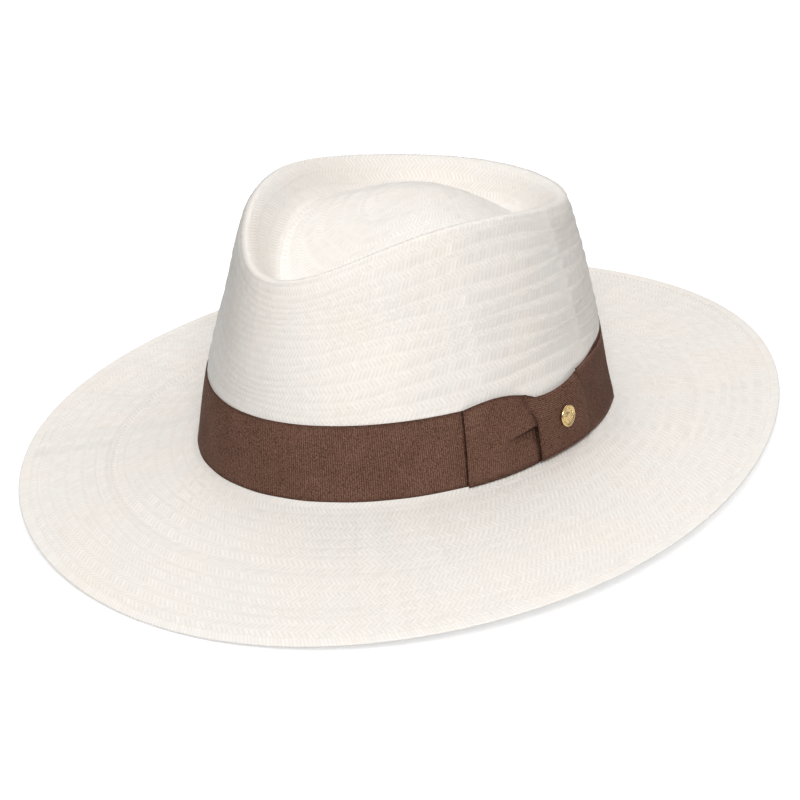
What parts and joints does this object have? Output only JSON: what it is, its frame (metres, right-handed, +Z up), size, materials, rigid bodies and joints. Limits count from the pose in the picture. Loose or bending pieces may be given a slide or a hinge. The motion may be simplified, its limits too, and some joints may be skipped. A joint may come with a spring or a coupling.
{
  "type": "panama hat",
  "caption": "Wide-brimmed woven straw hat with a teardrop crown, a ribbon band with a flat bow and a metal stud, and a sweatband inside.",
  "frame": {"origin": "middle of the head oval, where the crown meets the brim", "axes": "+Z up with the hat resting on its brim, front of the hat along -Y, wearer's left (the bow's side) along +X"},
  "size_m": [0.3232, 0.3651, 0.1262],
  "materials": {
    "straw": "herringbone woven toquilla straw, bleached, satin",
    "straw_thread": "cotton thread, matte",
    "ribbon": "ribbed grosgrain ribbon, satin",
    "ribbon_thread": "thread, matte",
    "stud_metal": "polished gold-coloured plating with a fine matte ground",
    "sweatband_leather": "smooth leather, semi-matte, fine grain",
    "label_cloth": "woven satin tab, blank"
  },
  "bodies": {
    "hat": {"straw_body": "straw", "brim_edge_thread": "straw_thread", "hat_band": "ribbon", "bow_front_loop": "ribbon", "bow_rear_tail": "ribbon", "bow_knot": "ribbon", "sweatband": "sweatband_leather", "sweatband_cord": "sweatband_leather", "sweatband_stitches": "straw_thread", "sweatband_seam_tape": "sweatband_leather", "sweatband_bow": "ribbon", "size_tab": "label_cloth", "band_tacks": "ribbon_thread", "bow_tacks": "ribbon_thread"},
    "stud": {"stud_disc": "stud_metal", "stud_post": "stud_metal", "stud_clip": "stud_metal"}
  },
  "joints": [
    {"name": "stud_turn", "type": "hinge", "parent": "hat", "child": "stud", "pos_m": [0.08221, 0.00673, 0.01603], "axis": [0.9913, 0.0246, 0.129], "continuous": true}
  ]
}
